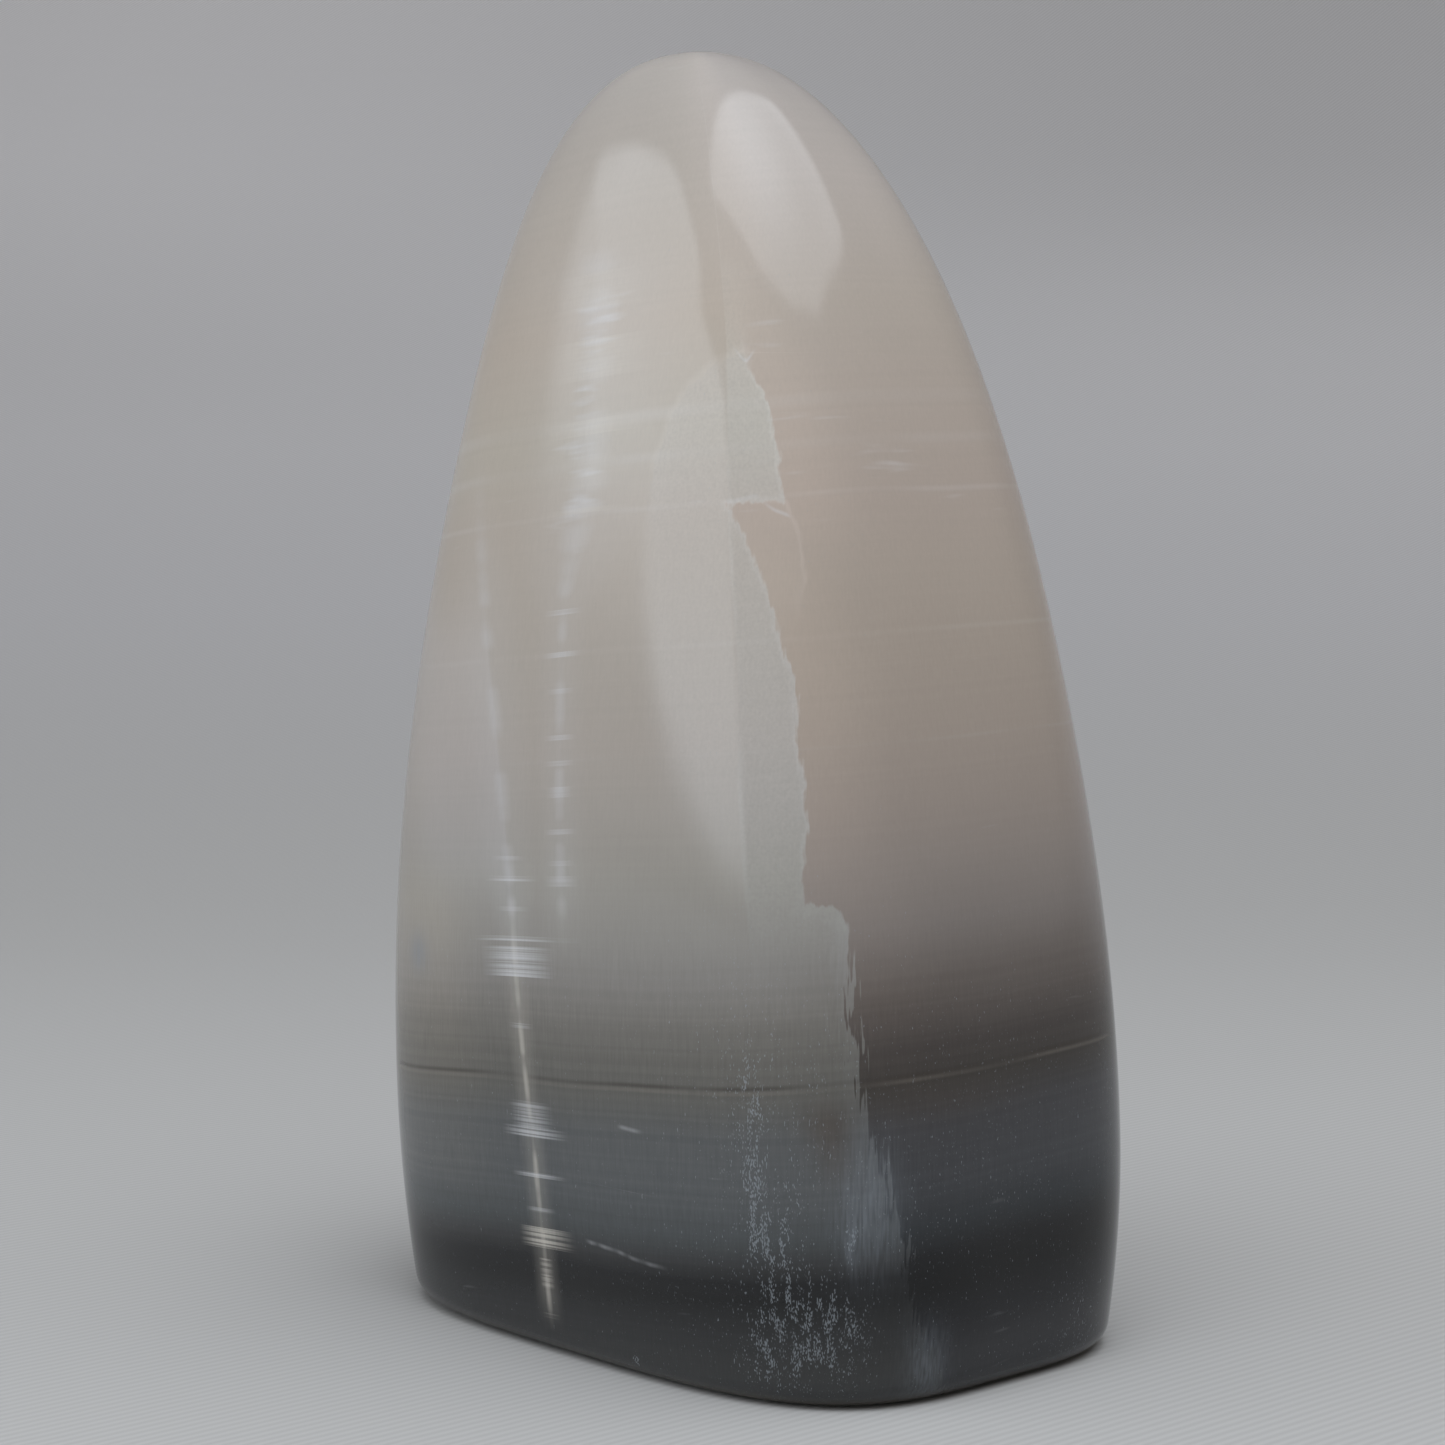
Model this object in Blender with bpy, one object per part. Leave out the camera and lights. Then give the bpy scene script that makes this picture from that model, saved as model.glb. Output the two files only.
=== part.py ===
"""A polished freeform of banded pink calcite, one solid stone standing on its sawn base.

Units are metres and +Z is up. +X runs along the broad side and +Y through the thickness.
The origin lies on the table, under the middle of the stone's box.
"""

import math

import bmesh
import bpy
import numpy as np

# The stone as a whole
HEIGHT = 0.140
HALF_WIDTH = 0.0410
HALF_DEPTH = 0.0285

# Its outline from the side: an arch that springs from the belly, over a foot that tucks in
BELLY_LEVEL = 0.17
ARCH_RISE = 2.0
ARCH_ROUND = 2.2
FOOT_TUCK = 0.043
SHOULDER_SWELL = 0.016

# Its level sections: rounded rectangles, squarer at the foot than at the crown
SQUARENESS_FOOT = 3.5
SQUARENESS_CROWN = 2.6

# Its centre line, which leans and sways a little, as a hand-ground stone does
CROWN_OFFSET = (-0.0025, -0.0065)
LEAN_BEND = 1.7
SWAY = -0.00035
BOW = 0.00014

# The edge between the wall and the sawn base, rounded when the stone was polished
ARRIS_RADIUS = 0.0025

# The mesh: columns of points around the stone, and rings from the base's middle to the crown
COLUMNS = 64
BASE_RINGS = 3
ARRIS_RINGS = 3
WALL_RINGS = 34

NODE_NAME = "calcite_stone"
STONE_COLOUR = (0.36, 0.32, 0.29, 1.0)
STONE_ROUGHNESS = 0.22


def clear_scene():
    """Remove every object, so that the scene holds the stone alone."""
    for old in list(bpy.data.objects):
        bpy.data.objects.remove(old, do_unlink=True)


def outline_share(level):
    """Half-width at a level, as a share of the belly's: one minus a power of the rise above the belly,
    rooted to round the shoulders, with a slight swell low on the arch and a tuck towards the foot."""
    rise = np.clip((level - BELLY_LEVEL) / (1 - BELLY_LEVEL), 0, 1)
    arch = (1 - rise**ARCH_RISE) ** (1 / ARCH_ROUND)
    swell = 1 + SHOULDER_SWELL * np.sin(2 * np.pi * level)
    drop = np.clip(1 - level / BELLY_LEVEL, 0, 1)
    return arch * swell - FOOT_TUCK * drop**2


def arris_inset(height):
    """How far the rounded edge of the base draws the wall in: a quarter circle, then nothing."""
    below = np.clip(1 - height / ARRIS_RADIUS, 0, 1)
    return ARRIS_RADIUS * (1 - np.sqrt(1 - below**2))


def centre_line(level):
    """Middle of the section at a level: a bent lean towards the crown, plus two small waves."""
    wave = SWAY * np.sin(2 * np.pi * level) + BOW * np.sin(3 * np.pi * level)
    lean = level**LEAN_BEND
    return CROWN_OFFSET[0] * lean + wave, CROWN_OFFSET[1] * lean + wave


def ring_plan():
    """Level and spread of each ring from the base's middle to the crown. The spread runs from 0 to 1
    across the flat base and stays 1 up the wall, whose rings gather towards the crown."""
    base_levels = np.zeros(BASE_RINGS + 1)
    base_spread = np.linspace(0, 1, BASE_RINGS + 1)
    turn = np.linspace(0, math.pi / 2, ARRIS_RINGS + 1)[1:]
    arris_levels = ARRIS_RADIUS * (1 - np.cos(turn)) / HEIGHT
    climb = np.sin(np.linspace(0, math.pi / 2, WALL_RINGS + 1)[1:])
    wall_levels = arris_levels[-1] + (1 - arris_levels[-1]) * climb
    levels = np.concatenate([base_levels, arris_levels, wall_levels])
    spread = np.concatenate([base_spread, np.ones(ARRIS_RINGS + WALL_RINGS)])
    return levels, spread


def stone_points(sphere):
    """Carry the points of a unit sphere to the stone. A point's latitude picks its ring, and its
    longitude the direction in which the rounded rectangle of that ring is met."""
    levels, spread = ring_plan()
    last_ring = len(levels) - 1
    latitude = np.arccos(np.clip(-sphere[:, 2], -1, 1)) / math.pi
    ring = np.rint(latitude * last_ring).astype(int)
    level = levels[ring]
    share = outline_share(level)
    inset = arris_inset(level * HEIGHT)
    half_width = np.maximum(HALF_WIDTH * share - inset, 1e-9)
    half_depth = np.maximum(HALF_DEPTH * share - inset, 1e-9)
    squareness = SQUARENESS_FOOT + (SQUARENESS_CROWN - SQUARENESS_FOOT) * level
    longitude = np.arctan2(sphere[:, 1], sphere[:, 0])
    east = np.cos(longitude)
    north = np.sin(longitude)
    reach = (np.abs(east / half_width) ** squareness + np.abs(north / half_depth) ** squareness) ** (-1 / squareness)
    reach = reach * spread[ring]
    reach[(ring == 0) | (ring == last_ring)] = 0
    middle_x, middle_y = centre_line(level)
    return np.column_stack([middle_x + reach * east, middle_y + reach * north, level * HEIGHT])


def stone_material():
    """Polished calcite in one overall colour."""
    material = bpy.data.materials.new("polished_calcite")
    material.use_nodes = True
    shader = material.node_tree.nodes["Principled BSDF"]
    shader.inputs["Base Color"].default_value = STONE_COLOUR
    shader.inputs["Roughness"].default_value = STONE_ROUGHNESS
    shader.inputs["Metallic"].default_value = 0.0
    material.diffuse_color = STONE_COLOUR
    return material


def make_stone(collection):
    """Start from a UV sphere and press it into the stone's shape."""
    rings = BASE_RINGS + ARRIS_RINGS + WALL_RINGS
    ball = bmesh.new()
    bmesh.ops.create_uvsphere(ball, u_segments=COLUMNS, v_segments=rings, radius=1)
    mesh = bpy.data.meshes.new(NODE_NAME)
    ball.to_mesh(mesh)
    ball.free()

    sphere = np.empty(len(mesh.vertices) * 3)
    mesh.vertices.foreach_get("co", sphere)
    points = stone_points(sphere.reshape(-1, 3))
    box_middle = (points.min(axis=0) + points.max(axis=0)) / 2
    points[:, :2] -= box_middle[:2]
    mesh.vertices.foreach_set("co", points.ravel())
    mesh.update()

    mesh.shade_smooth()
    mesh.set_sharp_from_angle(angle=math.radians(40))
    mesh.materials.append(stone_material())
    stone = bpy.data.objects.new(NODE_NAME, mesh)
    collection.objects.link(stone)
    return stone


def main():
    clear_scene()
    collection = bpy.data.collections.new("Pink calcite freeform")
    bpy.context.scene.collection.children.link(collection)
    make_stone(collection)


main()
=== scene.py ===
# %% [markdown]
# # A polished freeform of banded calcite
#
# The object is one natural stone, sawn flat underneath, ground by hand to an arch and polished.
# Dark slate layers at the foot turn to grey, then to cream with a breath of pink at the crown.
# The layers are flat sheets that run through the whole stone, and two crystals that grew side by
# side meet along a ragged edge on the front. This lesson makes the stone as one closed surface,
# gives it a finish that is laid out in the stone's own depth, and lights it as on a studio table.

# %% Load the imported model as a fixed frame
import math

import bpy
import numpy as np
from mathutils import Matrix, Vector


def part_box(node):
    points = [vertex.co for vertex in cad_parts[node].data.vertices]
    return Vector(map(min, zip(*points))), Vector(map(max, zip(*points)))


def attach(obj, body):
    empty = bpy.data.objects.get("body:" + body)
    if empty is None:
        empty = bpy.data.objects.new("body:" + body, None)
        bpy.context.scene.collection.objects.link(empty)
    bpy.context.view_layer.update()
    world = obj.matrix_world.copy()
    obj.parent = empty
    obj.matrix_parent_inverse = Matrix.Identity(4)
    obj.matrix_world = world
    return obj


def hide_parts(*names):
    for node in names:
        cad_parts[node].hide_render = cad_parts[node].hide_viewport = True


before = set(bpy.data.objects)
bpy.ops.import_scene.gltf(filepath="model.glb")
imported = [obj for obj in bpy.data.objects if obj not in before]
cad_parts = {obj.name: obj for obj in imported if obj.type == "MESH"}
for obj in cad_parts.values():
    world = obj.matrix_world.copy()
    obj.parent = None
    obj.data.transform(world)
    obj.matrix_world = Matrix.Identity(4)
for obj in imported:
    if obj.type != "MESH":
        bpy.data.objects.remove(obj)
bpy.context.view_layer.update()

# %% [markdown]
# ## The sizes of the stone
#
# The real stone stands about 14 cm tall. These are the same sizes as in the CAD source, in metres,
# so the fine surface made here lies on the plain solid. The shape is an arch seen from the side
# and a rounded rectangle seen from above, squarer at the foot than at the crown.

# %% Sizes of the stone
MM = 0.001
HEIGHT = 0.140
HALF_WIDTH = 0.0410
HALF_DEPTH = 0.0285
BELLY_LEVEL = 0.17
ARCH_RISE = 2.0
ARCH_ROUND = 2.2
FOOT_TUCK = 0.043
SHOULDER_SWELL = 0.016
SQUARENESS_FOOT = 3.5
SQUARENESS_CROWN = 2.6
CROWN_OFFSET = (-0.0025, -0.0065)
LEAN_BEND = 1.7
SWAY = -0.00035
BOW = 0.00014
ARRIS_RADIUS = 0.0025
print("the stone is", HEIGHT / MM, "mm tall and", 2 * HALF_WIDTH / MM, "mm wide at the belly")


# %% [markdown]
# ## The outline and the sections
#
# Three short formulas give the body: how wide each level is, how far the polished edge under the
# wall draws in, and where the middle of each level lies. A stone ground by hand never stands quite
# straight, so its centre line leans towards one broad side and sways a little.

# %% Outline, arris and centre line
def outline_share(level):
    """Half-width at a level as a share of the belly's: one minus the square of the rise above the
    belly, rooted to round the shoulders, with a slight swell and a tuck towards the foot."""
    rise = np.clip((level - BELLY_LEVEL) / (1 - BELLY_LEVEL), 0, 1)
    arch = (1 - rise**ARCH_RISE) ** (1 / ARCH_ROUND)
    swell = 1 + SHOULDER_SWELL * np.sin(2 * np.pi * level)
    drop = np.clip(1 - level / BELLY_LEVEL, 0, 1)
    return arch * swell - FOOT_TUCK * drop**2


def arris_inset(height):
    """How far the rounded edge of the base draws the wall in: a quarter circle, then nothing."""
    below = np.clip(1 - height / ARRIS_RADIUS, 0, 1)
    return ARRIS_RADIUS * (1 - np.sqrt(1 - below**2))


def centre_line(level):
    """Middle of the section at a level: a bent lean towards the crown, plus two small waves."""
    wave = SWAY * np.sin(2 * np.pi * level) + BOW * np.sin(3 * np.pi * level)
    lean = level**LEAN_BEND
    return CROWN_OFFSET[0] * lean + wave, CROWN_OFFSET[1] * lean + wave


def section_reach(turn, level):
    """Distance from the middle of a level to its edge in one direction: the polar form of a
    superellipse, one over the root of the summed powers of the direction's two parts."""
    share = outline_share(level)
    inset = arris_inset(level * HEIGHT)
    half_width = np.maximum(HALF_WIDTH * share - inset, 1e-9)
    half_depth = np.maximum(HALF_DEPTH * share - inset, 1e-9)
    squareness = SQUARENESS_FOOT + (SQUARENESS_CROWN - SQUARENESS_FOOT) * level
    across = np.abs(np.cos(turn) / half_width) ** squareness
    along = np.abs(np.sin(turn) / half_depth) ** squareness
    return (across + along) ** (-1 / squareness)


print("half-width at mid-height:", round(float(HALF_WIDTH * outline_share(0.5)) / MM, 2), "mm")

# %% [markdown]
# ## A grid over the stone
#
# The surface is a grid with two parameters: rings from the middle of the base, out to its edge and
# up the wall to the crown, and columns round the stone. The columns stand closer together where
# the front shows the most detail. Directions are given in degrees from the middle of the front, to
# the right of a person who looks at it, because all marks on the stone are placed that way.

# %% Rings and columns
BASE_RINGS = 14
ARRIS_RINGS = 7
WALL_RINGS = 228
COLUMNS = 384
COLUMN_PULL = 0.40
PULL_CENTRE = -14.0
FRONT_TURN = 42.485


def ring_levels():
    """Level and spread of each ring, without the two poles. The spread grows from nearly 0 to 1
    across the base and stays 1 up the wall, where the last rings gather towards the crown."""
    base_spread = np.arange(1, BASE_RINGS + 1) / BASE_RINGS
    turn = np.linspace(0, math.pi / 2, ARRIS_RINGS + 1)[1:]
    arris = ARRIS_RADIUS * (1 - np.cos(turn)) / HEIGHT
    step = np.linspace(0, 1, WALL_RINGS + 1)[1:-1]
    climb = 0.6 * step + 0.4 * (1 - (1 - step) ** 2)
    wall = arris[-1] + (1 - arris[-1]) * climb
    levels = np.concatenate([np.zeros(BASE_RINGS), arris, wall])
    spread = np.concatenate([base_spread, np.ones(ARRIS_RINGS + len(wall))])
    return levels, spread


def column_degrees():
    """Direction of each column in degrees from the front: equal steps less a sine, so that the
    steps are shortest in front and longest behind."""
    even = np.linspace(-math.pi, math.pi, COLUMNS, endpoint=False)
    return np.degrees(even - COLUMN_PULL * np.sin(even)) + PULL_CENTRE


ring_level, ring_spread = ring_levels()
around, level = np.meshgrid(column_degrees(), ring_level)
spread = np.repeat(ring_spread[:, None], COLUMNS, axis=1)
height = level * HEIGHT / MM
turn = np.radians(around - FRONT_TURN)
around = (around + 180) % 360 - 180
reach = section_reach(turn, level)
print("grid of", *around.shape, "points, first wall steps", np.round(np.diff(height[22:25, 0]), 2), "mm")

# %% [markdown]
# ## Marks of the hand
#
# Grinding on a wheel leaves very soft facets that meet in low ridges, which show only in the
# reflections. Each ridge is a low roof about a twentieth of a millimetre high, whose height falls
# off with distance, and it follows a path of a few points from the foot to the crown. Slow waves
# over the whole wall stand for the rest of what a hand does to a stone.

# %% Soft ridges left by grinding
RIDGE_PATHS = (
    ((0, -51), (12, -51), (22, -52), (33, -54.6), (42, -56.5), (50, -58), (58, -61), (68, -66),
     (80, -74), (98, -87), (118, -110)),
    ((0, -36), (30, -39), (46, -40.6), (61, -42.3), (81, -44.5), (88, -42), (93, -38.5), (107, -40),
     (118, -44), (130, -60)),
    ((0, 62), (40, 60), (80, 66), (110, 80), (130, 100)),
    ((0, 128), (50, 134), (90, 128), (120, 110)),
    ((0, 176), (45, 170), (85, 176), (120, 190)),
    ((0, -126), (50, -132), (90, -140), (120, -150)),
)
RIDGE_HEIGHTS = (0.05, 0.04, 0.05, 0.07, 0.06, 0.07)
RIDGE_SPREAD = 4.0
RIDGE_TOP = 0.6


def follow(path, at_height):
    """Direction of a path of (height, degrees) points at any height, by straight steps."""
    heights, degrees = zip(*path)
    return np.interp(at_height, heights, degrees)


def aside(path):
    """Signed distance in mm from a path along the surface, to its right: the turn away from the
    path, wrapped to half a circle each side, times the reach."""
    swing = (around - follow(path, height) + 180) % 360 - 180
    return np.radians(swing) * reach / MM


def ridge(path, tall):
    """A roof over the path: its height times the exponential of the distance, whose top is
    rounded because the distance is a hypotenuse with the top's own width."""
    distance = np.hypot(aside(path), RIDGE_TOP) - RIDGE_TOP
    return tall * np.exp(-distance / RIDGE_SPREAD)


def hand_waves():
    """The stone's slow unevenness in mm: three crossed sine waves over direction and height."""
    slow = 0.020 * np.sin(np.radians(3 * around + 40) + height / 19)
    cross = 0.012 * np.sin(np.radians(5 * around - 70) - height / 13)
    return slow + cross + 0.006 * np.sin(np.radians(2 * around) + height / 7.5)


wall_share = np.clip(height / 6, 0, 1) * np.clip((HEIGHT / MM - height) / 16, 0, 1)
relief = sum(ridge(path, tall) for path, tall in zip(RIDGE_PATHS, RIDGE_HEIGHTS)) - 0.02
relief = (relief + hand_waves()) * wall_share
print("hand relief between", round(float(relief.min()), 2), "and", round(float(relief.max()), 2), "mm")

# %% [markdown]
# ## The points of the stone
#
# A point lies in its column's direction, as far out as the section reaches there plus the relief of
# the grinding. The stone's middle is then brought over the middle of the CAD node's box.

# %% Points on the grid
middle_x, middle_y = centre_line(level)
distance = (reach + relief * MM) * spread
x = middle_x + distance * np.cos(turn)
y = middle_y + distance * np.sin(turn)
z = level * HEIGHT
plain_x = middle_x + reach * spread * np.cos(turn)
plain_y = middle_y + reach * spread * np.sin(turn)
low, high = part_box("calcite_stone")
shift_x = (low.x + high.x) / 2 - (plain_x.min() + plain_x.max()) / 2
shift_y = (low.y + high.y) / 2 - (plain_y.min() + plain_y.max()) / 2
x = x + shift_x
y = y + shift_y
crown_x, crown_y = centre_line(1.0)
foot_x, foot_y = centre_line(0.0)
foot = (foot_x + shift_x, foot_y + shift_y, 0.0)
crown = (crown_x + shift_x, crown_y + shift_y, HEIGHT)
points = np.concatenate([[foot], np.stack([x, y, z], axis=-1).reshape(-1, 3), [crown]])
print(len(points), "points, shifted by", round(shift_x / MM, 3), round(shift_y / MM, 3), "mm")


# %% [markdown]
# ## One closed mesh
#
# Neighbouring rings are joined by quads that run round the stone and close on themselves, so there
# is no seam. The first ring closes on the middle of the base and the last on the crown, with a fan
# of triangles each. All faces are listed so that they point outwards.

# %% Faces and mesh
def stone_faces(rings, columns):
    """Corner numbers of all faces: a fan at the foot, a band of quads between each pair of rings,
    and a fan at the crown. Point 0 is the foot, and the last point is the crown."""
    here = np.arange(columns)
    after = (here + 1) % columns
    base_fan = np.column_stack([np.zeros(columns, int), 1 + after, 1 + here])
    start = 1 + np.arange(rings - 1)[:, None] * columns
    quads = np.stack([start + here, start + after, start + columns + after, start + columns + here], axis=-1)
    last = 1 + (rings - 1) * columns
    crown_fan = np.column_stack([last + here, last + after, np.full(columns, last + columns)])
    return base_fan, quads.reshape(-1, 4), crown_fan


base_fan, quads, crown_fan = stone_faces(*around.shape)
mesh = bpy.data.meshes.new("calcite_freeform")
mesh.from_pydata(points.tolist(), [], base_fan.tolist() + quads.tolist() + crown_fan.tolist())
mesh.shade_smooth()
stone = bpy.data.objects.new("calcite_freeform", mesh)
bpy.context.scene.collection.objects.link(stone)
print("triangles:", len(base_fan) + 2 * len(quads) + len(crown_fan))

# %% [markdown]
# ## Where the crystals meet
#
# The left crystal is clear and pale, and the right one is smoky. Their meeting line, the pale leaf that
# stands in the left crystal, whose paleness is partly its own colour and partly a painted reflection, the
# keel where a frosted strip begins beside it, and the rosy lobe that slips between the two are given as
# paths of height and direction. A finish needs to know how far each point is from such a line, so distances
# are worked out here for all points at once and kept in the mesh as attributes. A signed distance is smooth
# across its line, so a mark cut from it stays sharp between the points of the grid.

# %% Paths of the crystal edges, as (height in mm, degrees from the front)
LEAF_TIP = 106.2
LOBE_TOP = 91.0
SMOKY_EDGE = (
    (-4, 30), (1.8, 28.3), (5.8, 26.1), (8.2, 23.1), (12.5, 22), (16.6, 21.3), (20.3, 19.6),
    (23.9, 18.8), (28, 17.4), (29.5, 16.0), (34, 15.3), (41.9, 14.8), (48.8, 15.1), (51, 13.4),
    (51.3, 9.4), (53.7, 9.3), (56.7, 10), (61.6, 10.2), (67.5, 9.6), (72.4, 10), (76.4, 8.3),
    (80.3, 6.7), (83.3, 6), (84.8, 4.3), (87.8, 2.8), (90.1, 0.6), (90.8, -0.9), (91.0, 4),
    (91.2, 10.2), (92.3, 9.8), (96.3, 9.7), (100.3, 8.7), (102.4, 7.6), (104.7, 5.6), (LEAF_TIP, 4.9),
    (112, 2), (141, 0),
)
LEAF_EDGE = (
    (50, -6), (60, -12), (72, -16.5), (84, -19), (88, -18.3), (91.3, -17.8), (95.4, -16.7),
    (96.4, -15.4), (98.4, -13.3), (100, -12.3), (103, -7.2), (105, -1.7), (LEAF_TIP, 4.9),
)
KEEL = (
    (30, 3.5), (41.7, 2.1), (51.5, 0.8), (63, 0.3), (69, 0.8), (76, 0.8), (85, 0), (94, -0.1),
    (106, 1),
)
LOBE_EDGE = ((70, 8.5), (80, 10.5), (83.3, 12.2), (88.3, 11.6), (89.8, 10.6), (LOBE_TOP, 10.2))
BACK_EDGE = (
    (-4, 166), (20, 172), (34, 166), (52, 171), (66, 164), (84, 160), (101, 167), (118, 158),
    (141, 160),
)
MM_PER_DEGREE = 0.62


def swing_from(degrees):
    """Turn from a direction to each point in degrees, wrapped to half a circle each side."""
    return (around - degrees + 180) % 360 - 180


def gap(path):
    """Signed distance in mm from a path, plus to its right: the shortest distance to any of the
    path's straight steps, with 0.62 mm to the degree, signed by the side at the point's height."""
    best = np.full(around.shape, 1e9)
    for (low_height, low_turn), (high_height, high_turn) in zip(path, path[1:]):
        step = np.array([(high_turn - low_turn) * MM_PER_DEGREE, high_height - low_height])
        off_turn = swing_from(low_turn) * MM_PER_DEGREE
        off_height = height - low_height
        share = np.clip((off_turn * step[0] + off_height * step[1]) / (step @ step), 0, 1)
        best = np.minimum(best, np.hypot(off_turn - share * step[0], off_height - share * step[1]))
    return best * np.where(swing_from(follow(path, height)) > 0, 1, -1)


def ease(values, start, end):
    """A smooth step from 0 at start to 1 at end: three squares less two cubes of the share."""
    share = np.clip((values - start) / (end - start), 0, 1)
    return share**2 * (3 - 2 * share)


def keep(name, values):
    """Store one number for each point of the grid as a mesh attribute; the poles take the mean of
    the ring beside them."""
    flat = np.concatenate([[values[0].mean()], values.ravel(), [values[-1].mean()]])
    attribute = mesh.attributes.new(name, "FLOAT", "POINT")
    attribute.data.foreach_set("value", flat.astype(np.float32))
    print(name, "from", round(float(flat.min()), 2), "to", round(float(flat.max()), 2))


# %% Signed gaps of the crystals, in mm
FAR = 12.0
from_front = gap(SMOKY_EDGE)
from_back = gap(BACK_EDGE)
smoky_side = np.where((from_front > 0) & (from_back < 0), 1, -1)
keep("smoky_gap", np.clip(smoky_side * np.minimum(np.abs(from_front), np.abs(from_back)), -FAR, FAR))
from_leaf = gap(LEAF_EDGE)
keep("leaf_gap", np.clip(np.where(height < LEAF_TIP, from_leaf, -np.abs(from_leaf)), -FAR, FAR))
keep("keel_gap", np.clip(gap(KEEL), -FAR, FAR))
keep("lobe_gap", np.clip(np.minimum(-gap(LOBE_EDGE), LOBE_TOP - height), -FAR, FAR))

# %% [markdown]
# ## Small seams
#
# Where the leaf's tip and the lobe's shoulder press on their neighbours, the crystal has parted
# along a hair line that shines white, and two more such lines lie low on the left. Each seam runs
# mostly sideways, so its distance is measured upwards from a line of (degrees, height), and its
# strength fades out at both ends. All seams share two attributes: at each point they hold the
# distance from the nearest seam and that seam's strength.

# %% Seams as (degrees from the front, height in mm, strength)
TIP_SEAM = ((2.4, 106.8, 0.0), (3.4, 106.2, 0.5), (4.9, 105.2, 1.0), (6.0, 105.8, 1.0), (7.2, 106.6, 0.0))
LOBE_SEAM = (
    (-1.0, 91.0, 0.0), (0.5, 91.1, 0.55), (5.0, 91.7, 0.55), (5.8, 91.6, 0.1), (6.6, 90.9, 0.3),
    (8.0, 90.3, 1.0), (10.2, 89.8, 1.0), (10.9, 89.6, 0.0),
)
LOW_SEAM = (
    (-37.0, 13.8, 0.0), (-35.0, 13.7, 0.6), (-33.2, 13.7, 0.15), (-31.5, 13.6, 0.7),
    (-28.0, 13.5, 0.2), (-26.5, 13.4, 0.6), (-25.0, 13.3, 0.1), (-23.5, 13.1, 0.5),
    (-21.0, 13.0, 0.15), (-19.0, 12.9, 0.5), (-17.0, 12.9, 0.2), (-15.0, 12.8, 0.0),
)
HIGH_SEAM = ((-26.0, 26.8, 0.0), (-24.5, 26.8, 0.7), (-21.5, 26.7, 0.6), (-19.5, 26.7, 0.0))


def seam(path):
    """Signed height above a line of straight steps over direction, and the line's strength."""
    degrees, heights, strengths = zip(*path)
    off = height - np.interp(swing_from(0), degrees, heights)
    return off, np.interp(swing_from(0), degrees, strengths, left=0, right=0)


SEAMS = (TIP_SEAM, LOBE_SEAM, LOW_SEAM, HIGH_SEAM)
offs, strengths = (np.stack(part) for part in zip(*map(seam, SEAMS)))
nearest = np.argmin(np.abs(offs), axis=0)[None]
keep("seam_gap", np.clip(np.take_along_axis(offs, nearest, 0)[0], -FAR, FAR))
keep("seam_share", np.take_along_axis(strengths, nearest, 0)[0])


# %% [markdown]
# ## Where flecks, milk, stain and some painted highlights lie
#
# White flecks crowd in upright trains near the foot, milky lenses thicken in places near the shoulders, a
# bluish veil hangs in a few fibres, and a brown stain has crept under the brown layer beside the smoky
# crystal. Two of the milk clouds, high on the left over the second ridge, are a painted highlight, and one
# bluish spot at the far left edge among the veil clouds is a painted highlight too. Each is a soft cloud
# over direction and height, so a handful of numbers places it, and the finish later breaks it up into single
# marks.

# %% Clouds of flecks, milk, veil and stain, with painted highlights among the milk and veil
def cloud(degrees, at_height, half_turn, half_height, strength):
    """A soft spot: its strength times the exponential of minus the squared distance, measured in
    its own half-widths of direction and height."""
    wide = swing_from(degrees) / half_turn
    tall = (height - at_height) / half_height
    return strength * np.exp(-(wide**2) - tall**2)


FLECK_CLOUDS = (
    (0.5, 31, 1.1, 5, 0.85), (0.5, 21, 1.6, 5, 1.0), (3.4, 16, 1.8, 4, 0.9), (3, 6.5, 4.5, 4.5, 0.9),
    (11.5, 7.5, 4.5, 4.5, 1.0), (7, 11, 5, 3, 0.45), (3, 24, 9, 12, 0.3), (13.4, 18.4, 0.9, 1.8, 0.9),
    (5.2, 11.9, 1.6, 1.0, 1.0), (57, 5, 7, 5, 0.35), (-24, 2, 1.4, 0.8, 1.0), (-10, 9, 14, 7, 0.15),
    (-2, 40, 12, 14, 0.22), (24, 30, 26, 20, 0.12), (40, 22, 26, 16, 0.08), (150, 20, 30, 22, 0.3),
    (-140, 14, 18, 9, 0.5),
)
MILK_AND_GLINT_CLOUDS = (
    # The clouds at -42 and -38 degrees are a painted highlight; the others are milky lenses.
    (12, 108.5, 14, 2.4, 0.7), (2, 115, 13, 2.0, 0.45), (-42, 98, 9, 12, 1.15),
    (-38, 111, 13, 5, 0.8), (8, 99.5, 30, 1.2, 0.5), (12, 94.6, 30, 1.2, 0.5), (20, 95, 16, 8, 0.25),
    (-20, 90.5, 30, 1.4, 0.4), (60, 96, 30, 12, 0.25), (150, 100, 50, 12, 0.45),
    (-130, 92, 40, 9, 0.4), (100, 60, 40, 10, 0.2),
)
VEIL_AND_GLINT_CLOUDS = (
    (25, 4.5, 3.2, 3.5, 0.5), (13.6, 17.6, 0.7, 2.2, 0.6), (16.0, 21, 4.0, 5.5, 0.65),
    # This spot at the far left edge is a painted highlight.
    (-89.0, 41.2, 3, 2.0, 0.9),
)
STAIN_CLOUDS = ((10.8, 29.5, 3.4, 2.2, 0.75), (11.5, 26, 2.2, 2.6, 0.5), (28, 31.5, 14, 2.0, 0.3))
loose_flecks = 0.10 * ease(-height, -58, -36)
for name, clouds, everywhere in (("fleck_cloud", FLECK_CLOUDS, loose_flecks), ("milk_and_glint_cloud", MILK_AND_GLINT_CLOUDS, 0),
                                 ("veil_and_glint_cloud", VEIL_AND_GLINT_CLOUDS, 0), ("stain_cloud", STAIN_CLOUDS, 0)):
    keep(name, np.clip(everywhere + sum(cloud(*numbers) for numbers in clouds), 0, 1))
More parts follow.
